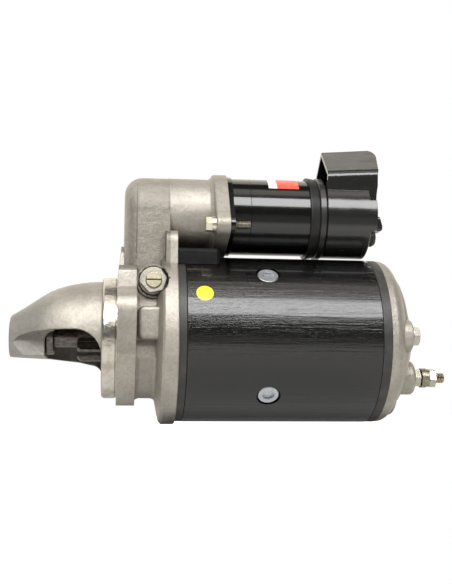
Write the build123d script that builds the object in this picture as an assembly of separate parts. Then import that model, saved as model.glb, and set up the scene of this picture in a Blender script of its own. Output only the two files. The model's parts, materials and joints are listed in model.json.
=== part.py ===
"""Pre-engaged starter motor. Millimetres.

The origin is on the shaft axis, in the machined front face of the mounting flange. +X runs back to the
commutator end, -X out along the drive nose, +Z up to the solenoid. The near side, with the nose window and
the pivot lock nut, is -Y.
"""

import os
from math import asin, cos, degrees, pi, radians, sin, sqrt

from build123d import *

# ---- driving dimensions ----
YOKE_R = 63.5
YOKE_WALL = 8.0
YOKE_X0 = 49.6
YOKE_X1 = 192.7
SEAL_X0 = 44.1
SEAL_X1 = 199.2
SEAL_R = 63.3
SPIGOT_R = 46.04
SPIGOT_LENGTH = 11.0
FLANGE_THICKNESS = 13.8
FLANGE_R = 51.6
EAR_PITCH_R = 60.0
EAR_R = 13.0
EAR_HOLE_R = 5.5
EAR_TILT = 15.0
NOSE_X = -79.7
NOSE_BOSS_R = 16.3
NOSE_BOSS_X1 = -53.3
NECK_R = 46.0
NECK_X1 = 29.2
RIM_X0 = 32.9
RIM_R = 65.5
SOLENOID_Z = 97.0
BARREL_R = 28.7
BARREL_BORE_R = 22.5
BARREL_X1 = 72.0
SOLENOID_X0 = 82.5
SOLENOID_R = 30.1
SOLENOID_X1 = 146.5
TOWER_X0 = 4.3
TOWER_X1 = 38.7
TOWER_HALF_WIDTH = 29.5
SOLENOID_BOLT_Y = 40.0
SOLENOID_BOLT_DROP = 14.6
SOLENOID_BOLT_R = 3.0
PIVOT_X = 26.1
PIVOT_Z = 39.0
DRIVE_TRAVEL = 15.0
SHAFT_NOSE_R = 7.7
SPLINE_R = 9.6
SHAFT_R = 10.0
SPLINE_COUNT = 10
RUNNING = 0.05
PINION_TEETH = 10
PINION_MODULE = 3.175
PINION_X0 = -29.4
PINION_X1 = -4.0
CORE_R = 37.0
CORE_X0 = 78.0
CORE_X1 = 160.0
CORE_SLOTS = 23
COMMUTATOR_R = 22.0
COMMUTATOR_X0 = 174.0
COMMUTATOR_X1 = 200.0
COMMUTATOR_BARS = 23
POLE_ANGLES = (45, 135, 225, 315)
POLE_SCREW_X = 110.5
POLE_SCREW_HEAD_R = 7.9
POLE_SCREW_SEAT_R = 60.0
THROUGH_BOLT_Y = 46.0
THROUGH_BOLT_R = 4.0
DOME_X1 = 227.6
DOME_BOLT_FACE = 217.0
STUD_Z = -28.9
STUD_BOSS_X1 = 232.6
STUD_R = 3.9
STUD_X1 = 258.1
STUD_FREE_X0 = 250.9
PLUNGER_R = 10.5
PLUNGER_X1 = 105.2
GEAR_CUT_Y = 17.0
COVER_X0 = 160.0
COVER_X1 = 202.0
COVER_SHOULDER_X1 = 198.8
COVER_RIDGE_SLOPE = 0.08
COVER_LOWER_X1 = 194.4
COVER_LOWER_R = 31.3
COVER_WALL = 2.5
CONTACT_TRAVEL = 3.0

# ---- worked out from them ----
SWING = degrees(asin(DRIVE_TRAVEL / 2 / PIVOT_Z))
UPPER_ARM = SOLENOID_Z - PIVOT_Z
PLUNGER_TRAVEL = 2 * UPPER_ARM * sin(radians(SWING))
LEVER_TOP_X = PIVOT_X - PLUNGER_TRAVEL / 2
YOKE_BORE_R = YOKE_R - YOKE_WALL
SPINDLE_X0 = PLUNGER_X1 + PLUNGER_TRAVEL - CONTACT_TRAVEL + 0.1


# ---- shapes that repeat ----
def disc(x0, x1, r, y=0.0, z=0.0):
    """A solid cylinder along X."""
    return Pos(x0, y, z) * extrude(Plane.YZ * Circle(r), x1 - x0)


def ring(x0, x1, r_out, r_in, y=0.0, z=0.0):
    """A tube along X."""
    return Pos(x0, y, z) * extrude(Plane.YZ * (Circle(r_out) - Circle(r_in)), x1 - x0)


def hexagon(x0, x1, across_flats, y=0.0, z=0.0, turn=0):
    """A hexagonal prism along X, with a flat facing up unless it is turned."""
    prism = extrude(Plane.YZ * RegularPolygon(across_flats / sqrt(3), 6, rotation=turn), x1 - x0)
    return Pos(x0, y, z) * prism


def cross_pin(y0, y1, r, x, z):
    """A solid cylinder along Y, from y0 to the larger y1."""
    return Pos(x, y1, z) * extrude(Plane.XZ * Circle(r), y1 - y0)


def block(x0, x1, y0, y1, z0, z1):
    """A rectangular block by its faces."""
    return Pos((x0 + x1) / 2, (y0 + y1) / 2, (z0 + z1) / 2) * Box(x1 - x0, y1 - y0, z1 - z0)


def turned(*points):
    """A solid of revolution about X from its (x, radius) outline."""
    return revolve(make_face(Plane.XZ * Polyline(*points, close=True)), Axis.X)


def turned_about(y, z, *points):
    """A solid of revolution about a line parallel to X."""
    return Pos(0, y, z) * turned(*points)


def plate(x0, x1, face):
    """A plate across X with a face drawn in Y and Z."""
    return Pos(x0, 0, 0) * extrude(Plane.YZ * face, x1 - x0)


def side_cut(y0, y1, outline):
    """A prism along Y from an outline drawn in X and Z."""
    return Pos(0, y1, 0) * extrude(Plane.XZ * outline, y1 - y0)


def around(shape, angles):
    """Copies of a shape turned about X."""
    return [Rot(angle, 0, 0) * shape for angle in angles]


def coil_spring(x0, x1, mean_r, wire_r, turns, y=0.0, z=0.0):
    """A round-wire coil spring along X."""
    pitch = (x1 - x0 - 2 * wire_r) / turns
    path = Helix(pitch=pitch, height=x1 - x0 - 2 * wire_r, radius=mean_r)
    section = Plane(origin=path @ 0, z_dir=path % 0) * Circle(wire_r)
    return Pos(x0 + wire_r, y, z) * Rot(0, 90, 0) * sweep(section, path=path, is_frenet=True)


# ---- drive end ----
def nose_outer():
    """Outline of the hood, half section: it swells from the tip boss to the spigot."""
    tip = (NOSE_X + 1.2, 16.6)
    root = (-SPIGOT_LENGTH, 42.8)
    swell = Spline(tip, (-70.5, 21.4), (-61.0, 27.7), (-51.5, 33.8), (-36.5, 39.5), root)
    sides = Polyline(root, (-SPIGOT_LENGTH, 0), (NOSE_X, 0), (NOSE_X, 15.2), tip)
    return revolve(make_face(Plane.XZ * (swell + sides)), Axis.X)


def nose_hollow():
    """Room for the pinion, clutch and thrust collar, open into the neck."""
    return turned(
        (NOSE_BOSS_X1, 0),
        (NOSE_BOSS_X1, 25.0),
        (-49.0, 29.5),
        (-36.5, 34.6),
        (-SPIGOT_LENGTH, 37.5),
        (NECK_X1, 38.5),
        (NECK_X1, 0),
    )


def gear_clearance():
    """What is cut from the near side of the hood, so that the ring gear reaches the pinion."""
    top_z = 3.2
    corner_r = 20.1
    corner = (-31.0, top_z)
    corner_end = (corner[0] + corner_r, top_z - corner_r)
    far = (NOSE_X - 2, -8.0)
    brow = Spline(far, (-77.0, -5.4), (-72.5, -1.7), (-67.0, 0.4), (-57.5, 2.2), (-46.0, top_z))
    top = Line((-46.0, top_z), corner)
    bend = RadiusArc(corner, corner_end, corner_r)
    rest = Polyline(corner_end, (corner_end[0], -70), (far[0], -70), far)
    return side_cut(-80, -GEAR_CUT_Y, make_face(brow + top + bend + rest))


def window_corner():
    """Web that rounds the front upper corner of the window."""
    radius = 6.9
    centre = (-46.4, -3.5)
    face = Pos(centre[0] - 3.5, 2.75) * Rectangle(7.0, 12.5) - Pos(*centre) * Circle(radius)
    return side_cut(-GEAR_CUT_Y, -13.6, face)


def nose_underside():
    """What is cut from below the hood: its lower edge slopes down and curves into the spigot."""
    far = (NOSE_X - 5, -15.2)
    bend = (-20, -19.4)
    root = (-SPIGOT_LENGTH, -28.2)
    slope = Polyline(far, (-52, -15.2), (-30, -17.2), bend)
    arc = RadiusArc(bend, root, 9.5)
    rest = Polyline(root, (root[0], -70), (far[0], -70), far)
    return side_cut(-80, 80, make_face(slope + arc + rest))


def nose():
    """Hood with its gear window and the bearing boss at the tip."""
    hood = nose_outer() - gear_clearance()
    lip = (NOSE_X + 1.3, NOSE_BOSS_R)
    boss = turned((NOSE_X, 0), (NOSE_X, 15.0), lip, (NOSE_BOSS_X1, NOSE_BOSS_R), (NOSE_BOSS_X1, 0))
    return hood + boss - nose_underside()


def ear_centre(side):
    """Y and Z of a flange hole: the bolt line is tilted up on the near side."""
    return side * EAR_PITCH_R * cos(radians(EAR_TILT)), -side * EAR_PITCH_R * sin(radians(EAR_TILT))


def flange():
    """Round plate with two bolt ears and a foot under the tower, whose front face is set back."""
    outline = Circle(FLANGE_R)
    for side in (-1, 1):
        y, z = ear_centre(side)
        ear = Pos(y, z) * Circle(EAR_R)
        outline += make_hull(Circle(FLANGE_R - 4).edges() + ear.edges())
    body = plate(0, FLANGE_THICKNESS, outline)
    near_half = [(-47, 20), (-45, 46), (-39, 50.6), (-19, 51), (-16, 64), (-10, 69.5)]
    far_half = [(-y, z) for y, z in reversed(near_half)]
    foot = plate(0, FLANGE_THICKNESS, make_face(Polyline(*near_half, *far_half, close=True)))
    foot = fillet(foot.edges().filter_by(Axis.X), 2.5)
    set_back = side_cut(-80, 80, make_face(Polyline((-1, 42), (0, 42), (2.6, 73), (-1, 73), close=True)))
    whole = body + foot - set_back
    for side in (-1, 1):
        y, z = ear_centre(side)
        whole -= disc(-1, FLANGE_THICKNESS + 1, EAR_HOLE_R, y, z)
    return whole


def neck():
    """Waist between flange and rim, and the web that flares out to the rim."""
    return turned(
        (FLANGE_THICKNESS - 1, 0),
        (FLANGE_THICKNESS - 1, NECK_R + 2.4),
        (FLANGE_THICKNESS + 0.7, NECK_R + 1.0),
        (FLANGE_THICKNESS + 2.8, NECK_R),
        (NECK_X1 - 3, NECK_R),
        (NECK_X1 - 0.8, NECK_R + 0.9),
        (NECK_X1, NECK_R + 2.4),
        (RIM_X0 - 0.6, RIM_R - 1.8),
        (RIM_X0 + 1.2, RIM_R),
        (SEAL_X0 - 0.8, RIM_R),
        (SEAL_X0, RIM_R - 0.8),
        (SEAL_X0, 0),
    )


def tower_outline(half_width, top_r, foot_z):
    """Across X: straight sides and a round top about the solenoid axis."""
    sides = Pos(0, (SOLENOID_Z + foot_z) / 2) * Rectangle(2 * half_width, SOLENOID_Z - foot_z)
    return sides + Pos(0, SOLENOID_Z) * Circle(top_r)


def tower():
    """Hollow upright for the lever, round in front, and the wall behind it that joins the rim."""
    outer = plate(TOWER_X0, TOWER_X1, tower_outline(TOWER_HALF_WIDTH - 1, TOWER_HALF_WIDTH - 1, 30))
    front = outer.faces().sort_by(Axis.X)[0]
    outer = fillet([edge for edge in front.edges() if edge.center().Z > 35], 14)
    wall = plate(RIM_X0 + 2.4, SEAL_X0, tower_outline(38, 0.5, 20)) & block(0, 60, -38, 38, 20, 79)
    wall = fillet(wall.edges().filter_by(Axis.X).sort_by(Axis.Z)[-2:], 9)
    return outer + wall


def barrel():
    """Cylinder that carries the solenoid, and its two-eared flange."""
    body = disc(TOWER_X1 - 1, BARREL_X1 + 1, BARREL_R, z=SOLENOID_Z)
    root = BARREL_X1 - 3
    fillet_ring = turned_at_solenoid((root, 0), (root, BARREL_R), (BARREL_X1, BARREL_R + 2.2), (BARREL_X1, 0))
    face = plate(BARREL_X1, SOLENOID_X0, solenoid_flange_outline(32.7, 8.2))
    face = chamfer(face.faces().sort_by(Axis.X)[0].edges(), 0.9)
    return body + fillet_ring + face


def turned_at_solenoid(*points):
    """A solid of revolution about the solenoid axis."""
    return turned_about(0, SOLENOID_Z, *points)


def solenoid_bolt_places():
    """Y and Z of the two bolts: the near one is low, the far one high."""
    near = (-SOLENOID_BOLT_Y, SOLENOID_Z - SOLENOID_BOLT_DROP)
    far = (SOLENOID_BOLT_Y, SOLENOID_Z + SOLENOID_BOLT_DROP)
    return near, far


def solenoid_flange_outline(round_r, ear_r):
    """The round of the solenoid joined to two bolt ears."""
    edges = (Pos(0, SOLENOID_Z) * Circle(round_r)).edges()
    for y, z in solenoid_bolt_places():
        edges += (Pos(y, z) * Circle(ear_r)).edges()
    return make_hull(edges)


def neck_boss():
    """Rounded lump on the near side of the neck."""
    lump = block(FLANGE_THICKNESS + 0.8, RIM_X0 + 1, -50.5, -30, -4.9, 19.6)
    lump = fillet(lump.edges().filter_by(Axis.Y).sort_by(Axis.X)[:2], 5)
    return fillet(lump.faces().sort_by(Axis.Y)[0].edges(), 3)


def neck_recess():
    """Shallow recess in the neck, under the lump."""
    return block(FLANGE_THICKNESS, NECK_X1 - 1, -50, -42.6, -17.9, -4.9)


def pivot_boss():
    """Boss for the lever pivot, from the tower wall out to the near side."""
    boss = cross_pin(-39.5, -20, 12.6, PIVOT_X, PIVOT_Z)
    web = block(PIVOT_X - 12.6, SEAL_X0 - 2, -37.5, -20, 20, PIVOT_Z + 5)
    far_boss = cross_pin(20, 36, 10, PIVOT_X, PIVOT_Z)
    return boss + web + far_boss


def drive_cavities():
    """The hollow of nose, neck, tower and barrel as one tool."""
    lever_room = plate(TOWER_X0 + 4, TOWER_X1 + 1, tower_outline(22, 22, 0))
    lever_room += block(TOWER_X0 + 4, TOWER_X1 - 2, -25, 25, 0, PIVOT_Z + 12)
    barrel_room = disc(TOWER_X0 + 12, SOLENOID_X0 + 1, BARREL_BORE_R, z=SOLENOID_Z)
    open_end = SEAL_X0 + 1
    rear_room = turned((NECK_X1 - 4, 0), (NECK_X1 - 4, 38.5), (RIM_X0 + 2, 50), (open_end, 50), (open_end, 0))
    return nose_hollow() + lever_room + barrel_room + rear_room


def spigot():
    """Register of the flange."""
    return turned(
        (-SPIGOT_LENGTH, 0),
        (-SPIGOT_LENGTH, SPIGOT_R - 1.5),
        (-SPIGOT_LENGTH + 1.5, SPIGOT_R),
        (1, SPIGOT_R),
        (1, 0),
    )


def spigot_relief():
    """Groove turned into the corner between spigot and flange face."""
    return ring(-1.0, 0.6, SPIGOT_R + 0.7, SPIGOT_R - 0.6)


def drive_end_bracket():
    """The whole casting with its bores for bush, pivot pin, bolts and nut seat."""
    casting = nose() + spigot() + flange() + (neck() - neck_recess()) + tower() + barrel()
    casting += neck_boss() + pivot_boss()
    casting -= drive_cavities() + spigot_relief()
    casting += window_corner()
    casting -= disc(NOSE_X - 1, NOSE_BOSS_X1 + 1, SHAFT_NOSE_R + 2.5)
    casting -= cross_pin(-60, 60, 5.0, PIVOT_X, PIVOT_Z)
    for y, z in solenoid_bolt_places():
        casting -= disc(BARREL_X1 - 8, SOLENOID_X0 + 1, SOLENOID_BOLT_R + 0.3, y, z)
        casting -= disc(60, BARREL_X1, 8.4, y, z) - disc(40, 90, BARREL_R - 3, z=SOLENOID_Z)
    for y in (-THROUGH_BOLT_Y, THROUGH_BOLT_Y):
        casting -= disc(NECK_X1, SEAL_X0 + 1, THROUGH_BOLT_R + 0.02, y)
    casting -= cross_pin(-70, -39.5, 10.6, PIVOT_X, PIVOT_Z)
    return casting


def nose_bush():
    return ring(NOSE_X + 2.8, NOSE_BOSS_X1, SHAFT_NOSE_R + 2.5, SHAFT_NOSE_R + RUNNING)


def thrust_collar():
    return turned((-53.2, 7.75), (-53.2, 12.2), (-52.2, 13.2), (-47.6, 13.2), (-46.6, 12.2), (-46.6, 7.75))


def collar_jump_ring():
    return ring(-51.0, -49.0, 7.74, 6.7)


def gear_outline(teeth, module, backlash=0.15):
    """A spur gear face: straight-sided teeth with rounded tips, on the pitch circle."""
    pitch_r = teeth * module / 2
    tip_r = pitch_r + module
    root_r = pitch_r - 1.15 * module
    half_pitch = pi * module / 4 - backlash / 2
    root_half = half_pitch * 1.62
    tip_half = half_pitch * 0.46
    tooth = make_face(
        Polyline(
            (root_r - 1.5, -root_half),
            (pitch_r, -half_pitch),
            (tip_r - 0.15, -tip_half),
            (tip_r - 0.15, tip_half),
            (pitch_r, half_pitch),
            (root_r - 1.5, root_half),
            close=True,
        )
    )
    face = Circle(root_r)
    for index in range(teeth):
        face += Rot(0, 0, index * 360 / teeth) * tooth
    return face & Circle(tip_r)


def pinion():
    """Ten-tooth pinion with lead chamfers, and the inner race of the clutch behind it."""
    gear = plate(PINION_X0, PINION_X1, gear_outline(PINION_TEETH, PINION_MODULE))
    tip_r = PINION_MODULE * (PINION_TEETH / 2 + 1)
    lead = 2.6
    gear &= turned(
        (PINION_X0, 0),
        (PINION_X0, tip_r - lead),
        (PINION_X0 + lead, tip_r),
        (PINION_X1, tip_r),
        (PINION_X1, 0),
    )
    race = disc(PINION_X1, 14.0, 14.0)
    return gear + race - disc(PINION_X0 - 1, 15, SHAFT_NOSE_R + RUNNING)


def spline_outline(r_out, r_in, half_width):
    """Splined shaft section."""
    face = Circle(r_in)
    for index in range(SPLINE_COUNT):
        face += Rot(0, 0, index * 360 / SPLINE_COUNT) * Pos(r_out / 2, 0) * Rectangle(r_out, 2 * half_width)
    return face & Circle(r_out)


def clutch_shell():
    """Driving half of the clutch: roller cup and splined sleeve."""
    cup = turned((-1.0, 22.05), (-1.0, 28.0), (16.5, 28.0), (18.0, 26.5), (18.0, 0), (15.0, 0), (15.0, 22.05))
    sleeve = disc(18.0, 44.0, 13.5)
    bore = plate(10, 45, spline_outline(SPLINE_R + 0.12, 8.3, 1.5))
    return cup + sleeve - bore


def clutch_rollers():
    roller = disc(1.0, 14.0, 3.98, y=18.03)
    return around(roller, [index * 72 for index in range(5)])


def clutch_cover():
    """Pressed steel cover that closes the roller cup round the race."""
    return ring(-2.6, -1.0, 28.0, 14.3)


def operating_bush():
    """Grooved bush that the lever foot moves along the sleeve."""
    return turned(
        (27.0, 13.6),
        (27.0, 20.5),
        (30.0, 20.5),
        (30.0, 16.8),
        (37.2, 16.8),
        (37.2, 20.5),
        (40.2, 20.5),
        (40.2, 13.6),
    )


def bush_retaining_ring():
    return ring(40.3, 42.0, 16.2, 13.5)


def engagement_spring():
    return coil_spring(18.1, 26.9, 16.2, 1.1, 3)


def intermediate_bracket():
    """Plate clamped between drive end and yoke, with the centre bearing boss."""
    body = turned(
        (SEAL_X0, 13.0),
        (SEAL_X0, 56.4),
        (YOKE_X0, 56.4),
        (YOKE_X0, 24.0),
        (53.0, 18.0),
        (62.0, 18.0),
        (62.0, 13.0),
    )
    for y in (-THROUGH_BOLT_Y, THROUGH_BOLT_Y):
        body -= disc(SEAL_X0 - 1, YOKE_X0 + 1, THROUGH_BOLT_R + 0.4, y)
    return body


def intermediate_bush():
    return ring(SEAL_X0 + 1.5, 62.0, 13.0, SHAFT_R + RUNNING)


def pivot_pin():
    """Eccentric pivot pin with a slotted head on the near side."""
    pin = cross_pin(-46.5, 36.0, 4.95, PIVOT_X, PIVOT_Z)
    head = cross_pin(-47.0, -41.5, 5.9, PIVOT_X, PIVOT_Z)
    head = chamfer(head.faces().sort_by(Axis.Y)[0].edges(), 0.5)
    slot = block(PIVOT_X - 8, PIVOT_X + 8, -48, -45.4, PIVOT_Z - 0.6, PIVOT_Z + 0.6)
    return pin + head - slot


def pivot_lock_nut():
    """Lock nut with clipped corners, and its washer."""
    nut = Pos(PIVOT_X, -41.0, PIVOT_Z) * extrude(Plane.XZ * RegularPolygon(9.8, 6, rotation=12), 4.6)
    nut &= cross_pin(-46, -40, 9.5, PIVOT_X, PIVOT_Z)
    washer = cross_pin(-41.0, -39.5, 10.2, PIVOT_X, PIVOT_Z)
    return nut + washer - cross_pin(-50, -30, 5.92, PIVOT_X, PIVOT_Z)


def lever_arm_face(width_foot, width_hub, width_top):
    """Side view of the lever when upright: hub on the pivot, arm up, arm down."""
    hub = Circle(width_hub)
    up = make_hull((Circle(width_hub - 1).edges() + (Pos(0, UPPER_ARM) * Circle(width_top - 1.2)).edges()))
    down = make_hull((Circle(width_hub - 1).edges() + (Pos(0, -PIVOT_Z) * Circle(width_foot)).edges()))
    return hub, up, down


def shift_lever():
    """Fork lever in its rest position, leaning forward at the top."""
    hub, up, down = lever_arm_face(3.4, 8.0, 3.4)
    upper = Pos(0, 4, 0) * extrude(Plane.XZ * up, 8)
    upper += Pos(0, 9, 0) * extrude(Plane.XZ * (Pos(0, UPPER_ARM) * Circle(3.4)), 18)
    bridge = Pos(0, 24.4, 0) * extrude(Plane.XZ * hub, 48.8)
    legs = [Pos(0, y, 0) * extrude(Plane.XZ * down, 3.6) for y in (24.4, -20.8)]
    pads = [Pos(0, y, -PIVOT_Z) * extrude(Plane.XZ * Circle(3.3), 4.0) for y in (21.0, -17.0)]
    lever = upper + bridge
    for piece in legs + pads:
        lever += piece
    lever -= cross_pin(-40, 40, 5.0, 0, 0)
    return Pos(PIVOT_X, 0, PIVOT_Z) * Rot(0, -SWING, 0) * lever


# ---- yoke and field ----
def yoke():
    tube = turned(
        (YOKE_X0, YOKE_BORE_R),
        (YOKE_X0, YOKE_R - 0.6),
        (YOKE_X0 + 0.6, YOKE_R),
        (YOKE_X1 - 0.6, YOKE_R),
        (YOKE_X1, YOKE_R - 0.6),
        (YOKE_X1, YOKE_BORE_R),
    )
    hole = Pos(POLE_SCREW_X, 0, 0) * extrude(Circle(4.5), YOKE_R + 5)
    counterbore = Pos(POLE_SCREW_X, 0, POLE_SCREW_SEAT_R) * extrude(Circle(POLE_SCREW_HEAD_R + 1.0), 10)
    for tool in around(hole + counterbore, POLE_ANGLES):
        tube -= tool
    return tube


def pole_screws():
    """Screws with a twelve-point recess, heads sunk below the yoke surface."""
    head = Pos(POLE_SCREW_X, 0, POLE_SCREW_SEAT_R) * extrude(Circle(POLE_SCREW_HEAD_R), 2.4)
    head = chamfer(head.faces().sort_by(Axis.Z)[-1].edges(), 0.5)
    shank = Pos(POLE_SCREW_X, 0, 44.5) * extrude(Circle(4.4), POLE_SCREW_SEAT_R - 44.5)
    star = RegularPolygon(4.6, 6, rotation=10) + RegularPolygon(4.6, 6, rotation=40)
    recess = Pos(POLE_SCREW_X, 0, POLE_SCREW_SEAT_R + 0.6) * extrude(star, 4)
    return around(head + shank - recess, POLE_ANGLES)


def sector(x0, x1, r_out, r_in, half_angle):
    """Part of a tube about X, centred on +Z."""
    side = 90 * sin(radians(half_angle))
    height = 90 * cos(radians(half_angle))
    wedge = make_face(Polyline((0, 0), (-side, height), (0, 110), (side, height), close=True))
    return plate(x0, x1, (Circle(r_out) - Circle(r_in)) & wedge)


def pole_shoes():
    face = sector(CORE_X0 + 2, CORE_X1 - 2, 43.0, CORE_R + 0.6, 33)
    post = sector(CORE_X0 + 8, CORE_X1 - 8, YOKE_BORE_R, 42.0, 15)
    shoe = face + post - Pos(POLE_SCREW_X, 0, 40) * extrude(Circle(4.45), 30)
    return around(shoe, POLE_ANGLES)


def field_coils():
    """Wound ribbon coils round the pole posts."""
    outer = sector(CORE_X0 - 8, CORE_X1 + 8, YOKE_BORE_R - 0.4, 43.4, 37)
    inner = sector(CORE_X0 + 7.4, CORE_X1 - 7.4, 60, 40, 16)
    return around(outer - inner, POLE_ANGLES)


def end_seal(x0, x1):
    return ring(x0, x1, SEAL_R, 57.0)


def lever_gap_grommet():
    """Rubber block that closes the gap between lever tower, barrel and yoke."""
    body = block(SEAL_X0 + 0.2, 76.0, -35.5, 35.5, 40.0, 65.6)
    body = fillet(body.edges().filter_by(Axis.X).sort_by(Axis.Z)[-2:], 3)
    body = chamfer(body.faces().sort_by(Axis.X)[-1].edges().filter_by(Axis.Z), 2.5)
    body -= disc(40, 80, YOKE_R + 0.2)
    body -= disc(40, 80, BARREL_R + 2.4, z=SOLENOID_Z)
    body -= plate(BARREL_X1 - 0.2, SOLENOID_X0, solenoid_flange_outline(33.4, 8.4))
    return body


# ---- armature ----
def armature_shaft():
    body = turned(
        (NOSE_X + 3.2, 0),
        (NOSE_X + 3.2, SHAFT_NOSE_R - 0.8),
        (NOSE_X + 4.0, SHAFT_NOSE_R),
        (-51.0, SHAFT_NOSE_R),
        (-51.0, 6.7),
        (-49.0, 6.7),
        (-49.0, SHAFT_NOSE_R),
        (16.0, SHAFT_NOSE_R),
        (16.0, 8.2),
        (46.0, 8.2),
        (46.0, SHAFT_R),
        (64.0, SHAFT_R),
        (64.0, 12.0),
        (203.0, 12.0),
        (203.0, 7.5),
        (221.0, 7.5),
        (221.0, 0),
    )
    splines = plate(16.0, 46.5, spline_outline(SPLINE_R, 8.2, 1.38))
    return body + splines


def core_slots():
    """Slots of the armature, as tools."""
    slot = block(CORE_X0 - 1, CORE_X1 + 1, -2.0, 2.0, 26.5, CORE_R - 2.2)
    mouth = block(CORE_X0 - 1, CORE_X1 + 1, -0.9, 0.9, CORE_R - 3, CORE_R + 2)
    return around(slot + mouth, [index * 360 / CORE_SLOTS for index in range(CORE_SLOTS)])


def armature_core():
    core = ring(CORE_X0, CORE_X1, CORE_R, 12.0)
    for tool in core_slots():
        core -= tool
    return core


def armature_windings():
    """Bars in the slots, joined by the two end turns."""
    front = turned((66, 17), (66, 27), (74, 34.2), (CORE_X0, 34.4), (CORE_X0, 17))
    rear = turned((CORE_X1, 17), (CORE_X1, 34.4), (165, 34.0), (COMMUTATOR_X0, 24.0), (COMMUTATOR_X0, 17))
    bar = block(CORE_X0, CORE_X1, -1.8, 1.8, 26.8, CORE_R - 2.6)
    windings = front + rear
    for copy in around(bar, [index * 360 / CORE_SLOTS for index in range(CORE_SLOTS)]):
        windings += copy
    return windings


def commutator_segments():
    half_angle = 180 / COMMUTATOR_BARS - 1.0
    bar = sector(COMMUTATOR_X0, COMMUTATOR_X1, COMMUTATOR_R, 17.0, half_angle)
    return around(bar, [index * 360 / COMMUTATOR_BARS for index in range(COMMUTATOR_BARS)])


def commutator_hub():
    return ring(COMMUTATOR_X0, COMMUTATOR_X1, 17.0, 12.0)


# ---- commutator end ----
def dome_outer():
    """Outline of the end bracket, half section: rim, rounded edge, a small step and a shallow dish."""
    rim = (203.5, 62.8)
    step = (213.0, 51.8)
    edge = Spline(rim, (207.2, 60.8), (210.4, 56.6), step)
    centre = (DOME_X1, 14.0)
    dish = Polyline(step, (214.4, 50.8), (216.6, 46.4), (219.4, 39.0), (222.4, 31.2), (225.2, 24.6), centre)
    rest = Polyline(centre, (DOME_X1, 0), (SEAL_X1, 0), (SEAL_X1, 63.2), rim)
    return revolve(make_face(Plane.XZ * (edge + dish + rest)), Axis.X)


def dome_hollow():
    """Room for the brush gear, less the bearing boss and the bosses for bolts and stud."""
    hollow = turned(
        (SEAL_X1 - 1, 0),
        (SEAL_X1 - 1, 56.5),
        (203.5, 56.5),
        (206.5, 53.5),
        (209.5, 47.0),
        (213.0, 40.5),
        (216.5, 33.0),
        (220.0, 24.5),
        (222.0, 15.0),
        (222.0, 0),
    )
    hollow -= disc(205, 230, 14.0)
    hollow -= disc(205, 230, 10.5, z=STUD_Z)
    for y in (-THROUGH_BOLT_Y, THROUGH_BOLT_Y):
        hollow -= disc(203.2, 230, 7.5, y)
    return hollow


def commutator_end_bracket():
    """Domed aluminium end with a shaft boss, two bolt bosses and the field terminal boss."""
    dome = dome_outer()
    for y in (-THROUGH_BOLT_Y, THROUGH_BOLT_Y):
        boss = disc(205, DOME_BOLT_FACE, 12.2, y)
        dome += fillet(boss.faces().sort_by(Axis.X)[-1].edges(), 1.5) & disc(190, 240, 58.0)
    terminal_boss = disc(205, STUD_BOSS_X1, 13.2, z=STUD_Z)
    dome += fillet(terminal_boss.faces().sort_by(Axis.X)[-1].edges(), 3.0)
    pad = disc(205, 215.0, 23.0, z=STUD_Z - 6.0)
    dome += fillet(pad.faces().sort_by(Axis.X)[-1].edges(), 3.0) & disc(190, 240, 58.0)
    dome -= dome_hollow()
    dome -= disc(200, 223, 10.5)
    dome -= disc(200, 240, 6.6, z=STUD_Z)
    for y in (-THROUGH_BOLT_Y, THROUGH_BOLT_Y):
        dome -= disc(190, 240, THROUGH_BOLT_R + 0.3, y)
        dome -= disc(DOME_BOLT_FACE, 240, 9.0, y)
    return dome


def commutator_end_bush():
    return ring(205.0, 221.5, 10.5, 7.5 + RUNNING)


def through_bolts():
    """Two long bolts with washers, from the end bracket into the neck."""
    bolts = []
    seat = DOME_BOLT_FACE + 1.5
    top = seat + 4.8
    for y in (-THROUGH_BOLT_Y, THROUGH_BOLT_Y):
        crown = turned_about(y, 0, (seat, 0), (seat, 7.5), (top - 0.9, 7.5), (top, 6.2), (top, 0))
        head = hexagon(seat, top, 13.0, y) & crown
        washer = ring(DOME_BOLT_FACE, seat, 7.9, THROUGH_BOLT_R, y)
        bolts.append(head + washer + disc(NECK_X1 + 1.5, seat + 1, THROUGH_BOLT_R, y))
    return bolts


def brush_plate():
    """Insulating ring with four brush boxes."""
    plate_body = ring(201.4, 203.0, 54.0, 24.5)
    box = block(181.0, 202.0, -6.6, 6.6, 25.0, 38.5) - block(182.2, 200.2, -5.05, 5.05, 20, 50)
    spring_post = block(186.0, 202.0, -5.0, 5.0, 49.2, 51.5)
    for y in (-THROUGH_BOLT_Y, THROUGH_BOLT_Y):
        plate_body -= disc(200, 204, 6.0, y)
    for copy in around(box, POLE_ANGLES) + around(spring_post, POLE_ANGLES):
        plate_body += copy
    return plate_body


def brushes():
    brush = block(182.3, 200.1, -5.0, 5.0, 20, 41) - disc(180, 202, COMMUTATOR_R + 0.03)
    return around(brush, POLE_ANGLES)


def brush_springs():
    """Coil springs that press the brushes in, under the brush gear rim."""
    spring = Pos(191.2, 0, 41.1) * extrude(Circle(4.0) - Circle(2.6), 8.0)
    return around(spring, POLE_ANGLES)


def field_terminal_stud():
    """Threaded stud, with a relief groove where its free end starts behind the outer nut."""
    relief_r = STUD_R - 0.4
    relief_x = STUD_FREE_X0 - 0.9
    end = STUD_X1 - 0.7
    return turned_about(
        0,
        STUD_Z,
        (212.0, 0),
        (212.0, STUD_R),
        (relief_x, STUD_R),
        (relief_x, relief_r),
        (STUD_FREE_X0, relief_r),
        (STUD_FREE_X0, STUD_R),
        (end, STUD_R),
        (STUD_X1, STUD_R - 0.7),
        (STUD_X1, 0),
    )


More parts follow.
